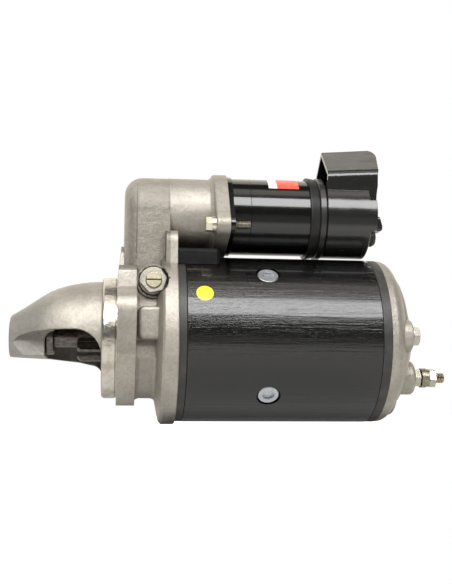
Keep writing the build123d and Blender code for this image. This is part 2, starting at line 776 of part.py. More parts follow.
def field_terminal_insulator():
    bore_r = STUD_R + 0.02
    sleeve = ring(210.0, STUD_BOSS_X1, 6.6, bore_r, z=STUD_Z)
    return sleeve + ring(STUD_BOSS_X1, STUD_BOSS_X1 + 0.7, 8.2, bore_r, z=STUD_Z)


def field_terminal_nuts():
    """Inner nut that holds the stud, and outer nut for the cable."""
    inner = hexagon(233.3, 238.3, 13.0, z=STUD_Z)
    outer = hexagon(245.5, 250.7, 13.0, z=STUD_Z, turn=14)
    bore = disc(230, 260, STUD_R + 0.02, z=STUD_Z)
    return [inner - bore, outer - bore]


def field_terminal_washers():
    """Cupped washer and spring washer under the outer nut."""
    cup = ring(239.2, 243.4, 7.6, 4.0, z=STUD_Z) - disc(239, 242.4, 6.9, z=STUD_Z)
    return [cup, ring(243.4, 245.5, 6.9, 4.0, z=STUD_Z)]


# ---- solenoid ----
def solenoid_flange():
    """Mounting plate of the solenoid, with the shoulder that the can is crimped to."""
    face = plate(SOLENOID_X0, SOLENOID_X0 + 3.6, solenoid_flange_outline(31.2, 7.0))
    shoulder = disc(SOLENOID_X0 + 3.6, 90.4, 27.4, z=SOLENOID_Z)
    bore = disc(80, 92, PLUNGER_R + 1.3, z=SOLENOID_Z)
    body = face + shoulder - bore
    for y, z in solenoid_bolt_places():
        body -= disc(80, 90, SOLENOID_BOLT_R + 0.02, y, z)
    return body


def solenoid_can():
    return turned_at_solenoid(
        (86.2, 27.45),
        (86.2, 29.7),
        (86.8, SOLENOID_R),
        (100.1, SOLENOID_R),
        (100.25, SOLENOID_R - 0.35),
        (100.55, SOLENOID_R - 0.35),
        (100.7, SOLENOID_R),
        (SOLENOID_X1, SOLENOID_R),
        (SOLENOID_X1, 27.45),
    )


def solenoid_coil():
    return turned_at_solenoid((90.4, 11.8), (90.4, 27.4), (134.0, 27.4), (134.0, 11.8))


def solenoid_core():
    """Fixed core behind the plunger, bored for the contact spindle."""
    pole = ring(128.2, 134.0, 10.5, 2.7, z=SOLENOID_Z)
    return pole + ring(134.0, 142.0, 27.4, 2.7, z=SOLENOID_Z)


def plunger():
    """Iron plunger, its front rod, spring plate and the slotted link that holds the lever."""
    x_link = LEVER_TOP_X
    body = disc(61.0, PLUNGER_X1, PLUNGER_R, z=SOLENOID_Z)
    body = chamfer(body.faces().sort_by(Axis.X)[0].edges(), 0.8)
    rod = disc(x_link + 3.8, 62.0, 6.0, z=SOLENOID_Z)
    seat = disc(27.0, 29.0, 19.0, z=SOLENOID_Z)
    link = block(x_link - 6.2, x_link + 7.0, -9.4, 9.4, SOLENOID_Z - 3.2, SOLENOID_Z + 8.5)
    slot = block(x_link - 3.7, x_link + 3.7, -20, 20, SOLENOID_Z - 20, SOLENOID_Z + 4.6)
    return body + rod + seat + link - slot


def plunger_return_spring():
    return coil_spring(29.1, 82.3, 17.0, 1.2, 7, z=SOLENOID_Z)


def solenoid_clamp_ring():
    """Ring that clamps the end cap to the can, with a small lip."""
    return turned_at_solenoid(
        (SOLENOID_X1, 27.45),
        (SOLENOID_X1, 32.1),
        (SOLENOID_X1 + 0.8, 32.4),
        (153.2, 31.4),
        (153.8, 31.0),
        (153.8, 27.45),
    )


def solenoid_end_cap():
    """Moulded cap that carries the contacts and terminals."""
    shell = turned_at_solenoid(
        (142.0, 24.0),
        (142.0, 27.4),
        (153.8, 27.4),
        (153.8, 31.3),
        (154.4, 32.2),
        (158.4, 32.2),
        (158.9, 31.6),
        (158.9, 27.6),
        (172.0, 27.0),
        (174.0, 25.0),
        (174.0, 0),
        (168.0, 0),
        (168.0, 24.0),
    )
    for z in (14.0, -14.0):
        shell -= disc(160, 180, 4.0, z=SOLENOID_Z + z)
    shell -= block(160, 180, 9.9, 16.1, SOLENOID_Z - 0.5, SOLENOID_Z + 0.5)
    return shell


def contact_spindle():
    """Push rod that the plunger drives at the end of its stroke."""
    return disc(SPINDLE_X0, 160.0, 2.5, z=SOLENOID_Z) + disc(150.0, 152.0, 5.0, z=SOLENOID_Z)


def contact_plate():
    """Copper bridge carried by the spindle."""
    plate_body = Pos(0, 0, SOLENOID_Z) * plate(155.0, 158.0, Rectangle(12, 38))
    return plate_body - disc(150, 165, 2.5, z=SOLENOID_Z)


def contact_return_spring():
    return coil_spring(158.1, 167.9, 4.6, 0.6, 4, z=SOLENOID_Z)


def terminal_stud(z_offset, x1, r):
    """Threaded stud with the fixed contact as its head."""
    z = SOLENOID_Z + z_offset
    head = block(161.1, 168.0, -8, 8, z - 7, z + 7) & disc(150, 180, 23.4, z=SOLENOID_Z)
    return head + disc(161.1, x1, r, z=z) - disc(150, 169, 6.2, z=SOLENOID_Z)


def battery_terminal_stud():
    return terminal_stud(14.0, 194.0, 4.0)


def motor_terminal_stud():
    return terminal_stud(-14.0, 192.0, 4.0)


def solenoid_terminal_nuts():
    """Nuts on the two studs."""
    nuts = []
    for z in (SOLENOID_Z + 14.0, SOLENOID_Z - 14.0):
        nuts.append(hexagon(174.0, 180.0, 13.0, z=z) - disc(160, 200, 4.02, z=z))
    return nuts


def switch_blade():
    return block(164.0, 188.0, 10.0, 16.0, SOLENOID_Z - 0.4, SOLENOID_Z + 0.4)


def cover_outline(x, inset):
    """Section at x: gable roof that rises to the rear, and sides that narrow to a waist."""
    rise = COVER_RIDGE_SLOPE * (x - COVER_X0)
    apex = (0, 151.9 + rise - 1.25 * inset)
    eave_y = 27.2 - inset
    eave_z = 128.2 + 0.8 * rise - 0.4 * inset
    half = [(eave_y, eave_z), (24.6 - inset, 108.0), (24.0 - inset, SOLENOID_Z)]
    far_half = [(-y, z) for y, z in reversed(half)]
    return Plane.YZ.offset(x) * make_face(Polyline(apex, *half, *far_half, close=True))


def cover_rear():
    """What is cut behind the roof: the rear face leans back and rounds over at the ridge."""
    foot = (COVER_X1 - 1.4, 100)
    lean = [(COVER_X1 - 1.4, 128), (COVER_X1 + 2.4, 147.5), (COVER_X1 + 2.4, 150.0)]
    crown = [(COVER_X1 + 1.6, 152.2), (COVER_X1, 154.0), (COVER_X1 - 2.4, 155.4), (COVER_X1 - 2.4, 170)]
    outside = [(COVER_X1 + 20, 170), (COVER_X1 + 20, 100)]
    return side_cut(-60, 60, make_face(Polyline(foot, *lean, *crown, *outside, close=True)))


def cover_upper():
    """Roofed box with rounded eaves."""
    box = loft([cover_outline(COVER_X0, 0), cover_outline(COVER_X1 + 4, 0)], ruled=True)
    eaves = [edge for edge in box.edges() if edge.length > 30 and abs(edge.center().Y) > 25]
    return fillet(eaves, 7) - cover_rear()


def cover_shoulder(x1, inset):
    """Part of the round lower half that reaches back to the switch blade."""
    round_bar = disc(COVER_X0 - inset, x1, COVER_LOWER_R - inset, z=SOLENOID_Z)
    return round_bar & block(COVER_X0 - 2, x1, -40, 40, 83.4 + inset, 107.0 - inset)


def terminal_cover():
    """Hood over the terminals, open towards the drive end, hollow at the back below the roof."""
    body = cover_upper()
    lower = disc(COVER_X0, COVER_LOWER_X1, COVER_LOWER_R, z=SOLENOID_Z)
    body += fillet(lower.faces().sort_by(Axis.X)[-1].edges(), 1.2)
    body += cover_shoulder(COVER_SHOULDER_X1, 0)
    lug = block(192.0, 203.6, -27.9, -15.0, 83.4, 94.8)
    body += fillet(lug.edges().filter_by(Axis.X) + lug.faces().sort_by(Axis.X)[-1].edges(), 2.2)
    body -= cross_pin(-60, 60, 60.0, COVER_X1 + 57.6, 108.0)
    room_x1 = COVER_X1 - 2 * COVER_WALL
    body -= loft([cover_outline(COVER_X0 - 1, COVER_WALL), cover_outline(room_x1, COVER_WALL)], ruled=True)
    body -= disc(COVER_X0 - 1, COVER_LOWER_X1 - COVER_WALL, COVER_LOWER_R - COVER_WALL, z=SOLENOID_Z)
    body -= cover_shoulder(COVER_SHOULDER_X1 - COVER_WALL, COVER_WALL)
    front = Polyline((150, 100), (COVER_X0, 100), (COVER_X0 + 1.6, 156), (150, 156), close=True)
    body -= side_cut(-60, 60, make_face(front))
    body -= disc(188, 205, 7.9, z=SOLENOID_Z - 14.0)
    return body


def motor_terminal_boot():
    """Rubber cap on the end of the motor stud, through the cover."""
    z = SOLENOID_Z - 14.0
    boot = turned_about(0, z, (186.5, 0), (186.5, 7.2), (201.5, 7.2), (203.8, 5.8), (204.5, 3.5), (204.5, 0))
    return boot - disc(180, 193.0, 4.02, z=z)


def solenoid_bolts():
    """Two hex bolts through the barrel flange into the solenoid flange, with washers."""
    bolts = []
    for y, z in solenoid_bolt_places():
        head = hexagon(64.4, 69.0, 10.0, y, z)
        washer = disc(69.0, BARREL_X1, 6.2, y, z)
        shank = disc(68.0, 97.7, SOLENOID_BOLT_R, y, z)
        bolts.append(head + washer + shank)
    return bolts


# ---- stickers ----
def inspection_sticker():
    """Round sticker on the yoke."""
    skin = ring(YOKE_X0, 80, YOKE_R + 0.12, YOKE_R)
    tool = Pos(62.6, 0, 0) * Rot(63.3, 0, 0) * extrude(Circle(6.3), 90)
    return skin & tool


def solenoid_label():
    """Small paper label on top of the solenoid."""
    skin = ring(110, 145, SOLENOID_R + 0.12, SOLENOID_R, z=SOLENOID_Z)
    wedge = Pos(126.6, 0, SOLENOID_Z) * Rot(32.0, 0, 0) * extrude(Rectangle(23.8, 21.2), 60)
    return skin & wedge


NODES = {
    "drive_end_bracket": drive_end_bracket,
    "nose_bush": nose_bush,
    "thrust_collar": thrust_collar,
    "collar_jump_ring": collar_jump_ring,
    "pinion": pinion,
    "clutch_shell": clutch_shell,
    "clutch_rollers": clutch_rollers,
    "clutch_cover": clutch_cover,
    "operating_bush": operating_bush,
    "bush_retaining_ring": bush_retaining_ring,
    "engagement_spring": engagement_spring,
    "intermediate_bracket": intermediate_bracket,
    "intermediate_bush": intermediate_bush,
    "pivot_pin": pivot_pin,
    "pivot_lock_nut": pivot_lock_nut,
    "shift_lever": shift_lever,
    "yoke": yoke,
    "pole_screws": pole_screws,
    "pole_shoes": pole_shoes,
    "field_coils": field_coils,
    "drive_end_seal": lambda: end_seal(SEAL_X0, YOKE_X0),
    "commutator_end_seal": lambda: end_seal(YOKE_X1, SEAL_X1),
    "lever_gap_grommet": lever_gap_grommet,
    "armature_shaft": armature_shaft,
    "armature_core": armature_core,
    "armature_windings": armature_windings,
    "commutator_segments": commutator_segments,
    "commutator_hub": commutator_hub,
    "commutator_end_bracket": commutator_end_bracket,
    "commutator_end_bush": commutator_end_bush,
    "through_bolts": through_bolts,
    "brush_plate": brush_plate,
    "brushes": brushes,
    "brush_springs": brush_springs,
    "field_terminal_stud": field_terminal_stud,
    "field_terminal_insulator": field_terminal_insulator,
    "field_terminal_nuts": field_terminal_nuts,
    "field_terminal_washers": field_terminal_washers,
    "solenoid_flange": solenoid_flange,
    "solenoid_can": solenoid_can,
    "solenoid_coil": solenoid_coil,
    "solenoid_core": solenoid_core,
    "plunger": plunger,
    "plunger_return_spring": plunger_return_spring,
    "solenoid_clamp_ring": solenoid_clamp_ring,
    "solenoid_end_cap": solenoid_end_cap,
    "contact_spindle": contact_spindle,
    "contact_plate": contact_plate,
    "contact_return_spring": contact_return_spring,
    "battery_terminal_stud": battery_terminal_stud,
    "motor_terminal_stud": motor_terminal_stud,
    "solenoid_terminal_nuts": solenoid_terminal_nuts,
    "switch_blade": switch_blade,
    "terminal_cover": terminal_cover,
    "motor_terminal_boot": motor_terminal_boot,
    "solenoid_bolts": solenoid_bolts,
    "inspection_sticker": inspection_sticker,
    "solenoid_label": solenoid_label,
}


def main():
    """Builds every node and writes it as its own STEP file."""
    os.makedirs("parts", exist_ok=True)
    for name, build in NODES.items():
        shape = build()
        solids = shape if isinstance(shape, list) else [shape]
        pieces = [solid for item in solids for solid in item.solids()]
        export_step(Compound(children=pieces) if len(pieces) > 1 else pieces[0], f"parts/{name}.step")


main()
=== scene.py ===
"""Looks of the starter motor: materials, springs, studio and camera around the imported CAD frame."""
import json
from math import cos, pi, radians, sin

import bpy
from mathutils import Matrix, Vector


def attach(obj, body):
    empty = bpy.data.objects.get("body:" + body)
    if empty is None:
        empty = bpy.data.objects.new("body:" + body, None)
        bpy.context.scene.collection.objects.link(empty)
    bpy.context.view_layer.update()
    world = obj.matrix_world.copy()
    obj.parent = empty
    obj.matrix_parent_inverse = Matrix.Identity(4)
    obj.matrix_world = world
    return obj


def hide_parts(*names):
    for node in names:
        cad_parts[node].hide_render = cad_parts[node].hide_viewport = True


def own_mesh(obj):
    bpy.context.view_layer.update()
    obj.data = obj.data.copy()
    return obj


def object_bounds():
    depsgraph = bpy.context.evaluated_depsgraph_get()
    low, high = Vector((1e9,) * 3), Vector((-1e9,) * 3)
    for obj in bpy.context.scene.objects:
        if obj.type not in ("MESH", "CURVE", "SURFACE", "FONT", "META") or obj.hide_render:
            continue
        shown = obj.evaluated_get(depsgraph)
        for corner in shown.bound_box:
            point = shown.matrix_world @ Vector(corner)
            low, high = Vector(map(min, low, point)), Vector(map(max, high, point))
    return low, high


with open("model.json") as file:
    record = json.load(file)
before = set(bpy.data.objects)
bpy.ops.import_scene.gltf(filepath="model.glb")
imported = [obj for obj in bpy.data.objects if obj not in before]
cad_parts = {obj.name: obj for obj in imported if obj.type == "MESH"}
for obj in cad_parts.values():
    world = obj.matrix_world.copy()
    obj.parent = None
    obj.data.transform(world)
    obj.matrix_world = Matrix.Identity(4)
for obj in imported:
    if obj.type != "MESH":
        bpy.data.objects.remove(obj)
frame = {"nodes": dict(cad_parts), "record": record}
CAD_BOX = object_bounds()

# ---- camera: the photograph's viewpoint, in the object's frame ----
CAMERA_PLACE = (0.0008, -0.7208, -0.0590)
CAMERA_YAW = 6.61
CAMERA_PITCH = 7.54
CAMERA_ROLL = 0.16
CAMERA_LENS = 57.6

# ---- light: radiance seen from the motor ----
SOFTBOX_RADIANCE = 8.8
SOFTBOX_PLACE = (-0.05, -0.955, 0.835)
SOFTBOX_AIM = (0.08, 0, 0.03)
SOFTBOX_SIZE = (1.9, 0.56)
SKY = 1.25
DARK_ROOM = 0.010
FILL = 0.22
FLOOR_GLOW = 0.14
FLOOR_FILL = 0.42
FLOOR_REACH = 5.0
FLOOR_GAP = 0.0003
WARM_ROOM = (1.0, 0.95, 0.85, 1.0)

# ---- open parts of the sky, as directions' Y and Z where they begin and are full ----
SKY_BEHIND_Y = (0.24, 0.34)
SKY_BEFORE_Y = (-0.10, -0.22)
SKY_ABOVE_Z = (0.80, 0.90)

# ---- masks on the casting and the paint, in metres in the object's frame ----
PIVOT_X = 0.0261
PIVOT_Z = 0.0390
SPIGOT_X = (-0.0111, -0.0004)
FLANGE_FACE_X = (-0.0003, 0.00012)
# painted shade: the nose tip is darkened over this span of X
NOSE_TIP_SHADE_X = (-0.050, -0.060)
# painted shade on the tower's near side stops at this X and starts above the foot height below
TOWER_END_X = 0.0380
TOWER_FOOT_Z = 0.052
PARTING_LINE_X = (0.0136, 0.0139)
PARTING_LINE_Z = (0.060, 0.116)
# painted shade: the band of the yoke's top that is darkened to near black
YOKE_TOP_SHADE_Z = (0.046, 0.066)

# ---- threads and sheets ----
STUD_THREAD_X = 0.2335
STUD_PITCH = 0.00125
SOLENOID_BOLT_THREAD_X = 0.0862
SOLENOID_BOLT_PITCH = 0.0010
SHEET_PITCH = 0.0011

# ---- label and sticker ----
LABEL_RED_X = 0.1212
STICKER_X = 0.0626

# ---- springs along X, pressed at x0 and standing at x1 ----
SOLENOID_Z = 0.097
STEPS_PER_TURN = 44
WIRE_SIDES = 12
SPRINGS = (
    {
        "name": "return_spring_wire",
        "cad_node": "plunger_return_spring",
        "joint": "plunger_slide",
        "x0": 0.0292,
        "x1": 0.0823,
        "mean_r": 0.0170,
        "wire_r": 0.0012,
        "turns": 7,
        "travel": 0.0224,
    },
    {
        "name": "contact_spring_wire",
        "cad_node": "contact_return_spring",
        "joint": "contact_slide",
        "x0": 0.1581,
        "x1": 0.1679,
        "mean_r": 0.0046,
        "wire_r": 0.0006,
        "turns": 4,
        "travel": 0.00302,
    },
)


def aim(yaw, pitch, roll):
    """Rotation of a camera that looks along +Y when all angles are zero."""
    forward = Vector((sin(yaw) * cos(pitch), cos(yaw) * cos(pitch), sin(pitch)))
    side = Vector((cos(yaw), -sin(yaw), 0))
    up = side.cross(forward)
    right = cos(roll) * side + sin(roll) * up
    top = -sin(roll) * side + cos(roll) * up
    return Matrix((right, top, -forward)).transposed().to_4x4()


def make_camera():
    """Camera at the photograph's place."""
    data = bpy.data.cameras.new("camera")
    data.lens = CAMERA_LENS
    data.sensor_width = 36.0
    camera = bpy.data.objects.new("camera", data)
    turn = aim(radians(CAMERA_YAW), radians(CAMERA_PITCH), radians(CAMERA_ROLL))
    camera.matrix_world = Matrix.Translation(CAMERA_PLACE) @ turn
    bpy.context.collection.objects.link(camera)
    bpy.context.scene.camera = camera


# ---- material building ----
class Tree:
    """A material under construction. Sockets take a number, a colour or another node's output."""

    def __init__(self, name):
        self.material = bpy.data.materials.new(name)
        self.material.use_nodes = True
        self.nodes = self.material.node_tree.nodes
        self.links = self.material.node_tree.links
        self.nodes.clear()
        self.shader = self.add("ShaderNodeBsdfPrincipled")
        output = self.add("ShaderNodeOutputMaterial")
        self.links.new(self.shader.outputs[0], output.inputs[0])
        self.place = self.add("ShaderNodeTexCoord").outputs["Object"]
        split = self.add("ShaderNodeSeparateXYZ")
        self.links.new(self.place, split.inputs[0])
        self.x, self.y, self.z = split.outputs

    def add(self, kind, **settings):
        """A new node with the given settings."""
        node = self.nodes.new(kind)
        for name, value in settings.items():
            setattr(node, name, value)
        return node

    def put(self, socket, value):
        """Sets a socket, or links it when the value is another node's output."""
        if isinstance(value, bpy.types.NodeSocket):
            self.links.new(value, socket)
        elif isinstance(value, tuple):
            socket.default_value = (*value, 1.0)
        else:
            socket.default_value = value

    def finish(self, **inputs):
        """Sets the shader's inputs (underscores stand for spaces) and returns the material."""
        for name, value in inputs.items():
            self.put(self.shader.inputs[name.replace("_", " ")], value)
        return self.material

    def maths(self, operation, *values):
        """Result of one arithmetic node."""
        node = self.add("ShaderNodeMath", operation=operation)
        for socket, value in zip(node.inputs, values):
            self.put(socket, value)
        return node.outputs[0]

    def mix(self, factor, a, b):
        """Mix of two colours."""
        node = self.add("ShaderNodeMix", data_type="RGBA", clamp_factor=True)
        for index, value in ((0, factor), (6, a), (7, b)):
            self.put(node.inputs[index], value)
        return node.outputs[2]

    def blend(self, factor, a, b):
        """Mix of two numbers."""
        node = self.add("ShaderNodeMix", data_type="FLOAT", clamp_factor=True)
        for index, value in ((0, factor), (2, a), (3, b)):
            self.put(node.inputs[index], value)
        return node.outputs[0]

    def noise(self, scale, detail=3.0, rough=0.55, stretch=(1, 1, 1)):
        """Noise of object space; scale is in cycles per metre."""
        mapping = self.add("ShaderNodeMapping")
        mapping.inputs["Scale"].default_value = stretch
        self.links.new(self.place, mapping.inputs["Vector"])
        node = self.add("ShaderNodeTexNoise")
        node.inputs["Scale"].default_value = scale
        node.inputs["Detail"].default_value = detail
        node.inputs["Roughness"].default_value = rough
        self.links.new(mapping.outputs[0], node.inputs["Vector"])
        return node.outputs["Fac"]

    def step(self, value, low, high):
        """0 below low, 1 above high, smooth between; low may be the larger."""
        node = self.add("ShaderNodeMapRange", interpolation_type="SMOOTHSTEP")
        for name, number in (("Value", value), ("From Min", low), ("From Max", high)):
            self.put(node.inputs[name], number)
        return node.outputs[0]

    def band(self, value, low, high, soft=0.0002):
        """1 between low and high, fading to 0 over the soft width outside them."""
        rise = self.step(value, low - soft, low)
        fall = self.step(value, high + soft, high)
        return self.maths("MULTIPLY", rise, fall)

    def length(self, a, b):
        """Length of the vector with these two components."""
        squares = self.maths("ADD", self.maths("MULTIPLY", a, a), self.maths("MULTIPLY", b, b))
        return self.maths("SQRT", squares)

    def hollow(self, distance):
        """1 deep in corners and hollows, 0 in the open."""
        node = self.add("ShaderNodeAmbientOcclusion", samples=4)
        node.inputs["Distance"].default_value = distance
        return self.maths("SUBTRACT", 1.0, node.outputs["AO"])

    def rounded(self, radius):
        """Normal with softened edges."""
        node = self.add("ShaderNodeBevel", samples=4)
        node.inputs["Radius"].default_value = radius
        return node.outputs[0]

    def bump(self, height, distance, normal=None, strength=1.0):
        """Normal from a height of 0 to 1 that stands for distance in metres."""
        node = self.add("ShaderNodeBump")
        self.put(node.inputs["Strength"], strength)
        node.inputs["Distance"].default_value = distance
        self.links.new(height, node.inputs["Height"])
        if normal:
            self.links.new(normal, node.inputs["Normal"])
        return node.outputs[0]


# ---- materials ----
def pivot_ring(tree):
    """1 in a dark ragged ring round the pivot lock nut, on the near side."""
    from_pivot = tree.length(
        tree.maths("SUBTRACT", tree.x, PIVOT_X), tree.maths("SUBTRACT", tree.z, PIVOT_Z)
    )
    reach = tree.maths("MULTIPLY_ADD", tree.noise(260, 3, 0.6), 0.0045, from_pivot)
    near_side = tree.step(tree.y, -0.034, -0.036)
    return tree.maths("MULTIPLY", tree.step(reach, 0.0140, 0.0132), near_side)


def tower_side_shade(tree):
    """1 on the near flat side of the lever tower: painted shade, toned down to the photograph's grey."""
    behind_barrel = tree.step(tree.x, TOWER_END_X + 0.0012, TOWER_END_X)
    above_foot = tree.step(tree.z, TOWER_FOOT_Z - 0.008, TOWER_FOOT_Z)
    flank = tree.maths("MULTIPLY", behind_barrel, above_foot)
    return tree.maths("MULTIPLY", flank, tree.step(tree.y, -0.0220, -0.0275))


def turned_faces(tree):
    """1 on the machined spigot and flange face."""
    from_axis = tree.length(tree.y, tree.z)
    spigot = tree.maths(
        "MULTIPLY", tree.band(tree.x, *SPIGOT_X), tree.step(from_axis, 0.0450, 0.0453)
    )
    return tree.maths("MAXIMUM", spigot, tree.band(tree.x, *FLANGE_FACE_X, 0.00005))


def cast_colour(tree, turned):
    """Warm grey with mottle and specks, grime and painted shade in the hollows, and painted shade on the
    nose tip and the tower's near side; brighter where it is turned.
    """
    patches = tree.step(tree.noise(38, 5, 0.62), 0.38, 0.62)
    colour = tree.mix(patches, (0.37, 0.345, 0.302), (0.44, 0.41, 0.36))
    mottle = tree.step(tree.noise(430, 4, 0.65), 0.56, 0.40)
    colour = tree.mix(tree.maths("MULTIPLY", mottle, 0.2), colour, (0.19, 0.17, 0.14))
    specks = tree.step(tree.noise(950, 2, 0.5), 0.66, 0.74)
    colour = tree.mix(tree.maths("MULTIPLY", specks, 0.35), colour, (0.25, 0.22, 0.18))
    # grime and painted shade: hollows found by occlusion are darkened
    hollows = tree.step(tree.hollow(0.013), 0.18, 0.85)
    hollow_grime_and_shade = tree.maths("MULTIPLY", hollows, tree.blend(patches, 1.0, 0.8))
    colour = tree.mix(tree.maths("MULTIPLY", hollow_grime_and_shade, 0.75), colour, (0.13, 0.105, 0.08))
    handled = tree.step(tree.noise(75, 4, 0.6), 0.42, 0.62)
    colour = tree.mix(turned, colour, tree.mix(handled, (0.70, 0.665, 0.60), (0.52, 0.475, 0.40)))
    # painted shade: the nose tip is darkened toward grey
    nose_tip_shade = tree.step(tree.x, *NOSE_TIP_SHADE_X)
    colour = tree.mix(tree.maths("MULTIPLY", nose_tip_shade, 0.4), colour, (0.24, 0.24, 0.235))
    # painted shade: the tower's near flat side is darkened
    colour = tree.mix(tree.maths("MULTIPLY", tower_side_shade(tree), 0.5), colour, (0.06, 0.052, 0.038))
    return tree.mix(tree.maths("MULTIPLY", pivot_ring(tree), 0.92), colour, (0.025, 0.022, 0.018))


def cast_normal(tree, turned):
    """Lumps, sand grain and the mould's parting line; lathe lines where it is turned."""
    across = tree.band(tree.x, *PARTING_LINE_X, 0.0003)
    parting_line = tree.maths("MULTIPLY", across, tree.band(tree.z, *PARTING_LINE_Z, 0.003))
    lumps = tree.noise(170, 3, 0.55)
    grain = tree.noise(1500, 2, 0.6)
    lathe = tree.noise(2200, 2, 0.6, (1, 0.04, 0.04))
    normal = tree.bump(lumps, 0.0009, tree.rounded(0.0009), 0.5)
    normal = tree.bump(parting_line, 0.0004, normal)
    normal = tree.bump(grain, 0.00028, normal, tree.blend(turned, 0.8, 0.2))
    return tree.bump(lathe, 0.00012, normal, tree.blend(turned, 0.0, 0.8))


def cast_aluminium():
    """As-cast metal with turned faces on the registers."""
    tree = Tree("cast_aluminium")
    turned = turned_faces(tree)
    return tree.finish(
        Base_Color=cast_colour(tree, turned),
        Metallic=tree.blend(turned, 0.72, 1.0),
        Roughness=tree.blend(turned, 0.5, 0.27),
        Normal=cast_normal(tree, turned),
    )


def enamel(name, streaks, grain, colour=(0.006, 0.006, 0.0055)):
    """Gloss black paint on a turned surface: streaks, orange peel and dust, with painted shade at the yoke's
    top.
    """
    tree = Tree(name)
    drawn = tree.noise(420, 3, 0.6, (0.035, 1, 1))
    peel = tree.noise(1200, 2, 0.5, (0.6, 1, 1))
    normal = tree.bump(drawn, 0.00045, tree.rounded(0.0003), streaks)
    normal = tree.bump(peel, 0.0002, normal, grain)
    dust = tree.step(tree.noise(1900, 1, 0.5), 0.72, 0.80)
    base = tree.mix(tree.maths("MULTIPLY", dust, 0.3), colour, (0.16, 0.155, 0.14))
    # painted shade: the yoke's top band is darkened to near black
    yoke_top_shade = tree.band(tree.z, *YOKE_TOP_SHADE_Z, 0.010)
    base = tree.mix(yoke_top_shade, base, (0.0008, 0.0008, 0.0007))
    return tree.finish(
        Base_Color=base,
        Roughness=tree.blend(tree.noise(300, 3, 0.5, (0.2, 1, 1)), 0.08, 0.20),
        Coat_Weight=0.5,
        Coat_Roughness=0.06,
        Normal=normal,
    )


def moulding(name, colour=(0.014, 0.014, 0.0135), rough=0.2):
    """Black moulded plastic with a faint sink and scuffs."""
    tree = Tree(name)
    sink = tree.noise(60, 2, 0.5)
    scuff = tree.step(tree.noise(520, 4, 0.6, (0.25, 1, 1)), 0.62, 0.78)
    normal = tree.bump(sink, 0.0012, tree.rounded(0.0006), 0.35)
    return tree.finish(
        Base_Color=tree.mix(tree.maths("MULTIPLY", scuff, 0.25), colour, (0.07, 0.07, 0.066)),
        Roughness=tree.blend(scuff, rough, rough + 0.16),
        Coat_Weight=0.55,
        Coat_Roughness=0.10,
        Normal=normal,
    )


def metal(name, light, dark, rough, grain=(1, 1, 1), edge=0.0004):
    """Worked metal: two tones in fine grain, painted shade in the hollows, with softened edges."""
    tree = Tree(name)
    fine = tree.noise(900, 3, 0.6, grain)
    colour = tree.mix(tree.step(fine, 0.35, 0.65), light, dark)
    # painted shade: hollows found by occlusion are darkened
    hollow_shade = tree.maths("MULTIPLY", tree.step(tree.hollow(0.004), 0.3, 1.0), 0.7)
    colour = tree.mix(hollow_shade, colour, (0.03, 0.025, 0.02))
    normal = tree.bump(fine, 0.00012, tree.rounded(edge), 0.35)
    return tree.finish(
        Base_Color=colour,
        Metallic=1.0,
        Roughness=tree.blend(tree.noise(260, 3, 0.5), rough - 0.06, rough + 0.10),
        Normal=normal,
    )


def ripple(tree, pitch):
    """A wave along X between 0 and 1."""
    wave = tree.maths("SINE", tree.maths("MULTIPLY", tree.x, 2 * pi / pitch))
    return tree.maths("MULTIPLY_ADD", wave, 0.5, 0.5)


def threaded(name, light, dark, x0, pitch):
    """Plated metal whose surface is threaded beyond x0, with painted shade in the thread roots."""
    tree = Tree(name)
    cut = tree.step(tree.x, x0, x0 + 0.0005)
    height = tree.maths("MULTIPLY", ripple(tree, pitch), cut)
    # painted shade: the thread roots are darker than the crests
    colour = tree.mix(tree.step(height, 0.55, 0.1), light, dark)
    colour = tree.mix(cut, light, colour)
    normal = tree.bump(height, 0.0006, tree.rounded(0.0003), 0.9)
    return tree.finish(Base_Color=colour, Metallic=1.0, Roughness=0.3, Normal=normal)


def matt(name, colour, worn, rough, shine=0.5):
    """Non-metal with a fine even texture and worn patches."""
    tree = Tree(name)
    fine = tree.noise(500, 3, 0.6)
    return tree.finish(
        Base_Color=tree.mix(tree.step(tree.noise(90, 4, 0.6), 0.4, 0.68), colour, worn),
        Roughness=tree.blend(fine, rough - 0.08, rough + 0.1),
        Specular_IOR_Level=shine,
        Normal=tree.bump(fine, 0.00012, tree.rounded(0.0004), 0.5),
    )


def laminated_iron():
    """Stacked sheets across X, dull grey."""
    tree = Tree("laminated_iron")
    sheets = ripple(tree, SHEET_PITCH)
    colour = tree.mix(tree.step(sheets, 0.2, 0.7), (0.07, 0.066, 0.062), (0.24, 0.23, 0.22))
    normal = tree.bump(sheets, 0.0002, tree.rounded(0.0002))
    return tree.finish(Base_Color=colour, Metallic=0.9, Roughness=0.48, Normal=normal)


def label_paper():
    """Small paper label: a white end and a rubbed red field."""
    tree = Tree("label_paper")
    fibres = tree.noise(1300, 3, 0.6)
    rubbed = tree.step(tree.noise(420, 3, 0.6), 0.55, 0.75)
    red = tree.mix(rubbed, (0.80, 0.085, 0.05), (0.82, 0.20, 0.15))
    printed = tree.step(tree.x, LABEL_RED_X, LABEL_RED_X + 0.0004)
    colour = tree.mix(printed, (0.72, 0.70, 0.64), red)
    normal = tree.bump(fibres, 0.00005)
    return tree.finish(Base_Color=colour, Roughness=0.42, Coat_Weight=0.3, Normal=normal)


def sticker_yellow():
    """Bright vinyl disc with a slightly paler print edge."""
    tree = Tree("sticker_yellow")
    across = tree.maths("SUBTRACT", tree.x, STICKER_X)
    rim = tree.step(tree.maths("ABSOLUTE", across), 0.0057, 0.0062)
    colour = tree.mix(rim, (0.70, 0.57, 0.002), (0.64, 0.50, 0.01))
    colour = tree.mix(tree.step(tree.noise(700, 3, 0.6), 0.5, 0.9), colour, (0.60, 0.48, 0.01))
    return tree.finish(Base_Color=colour, Roughness=0.35, Coat_Weight=0.25)


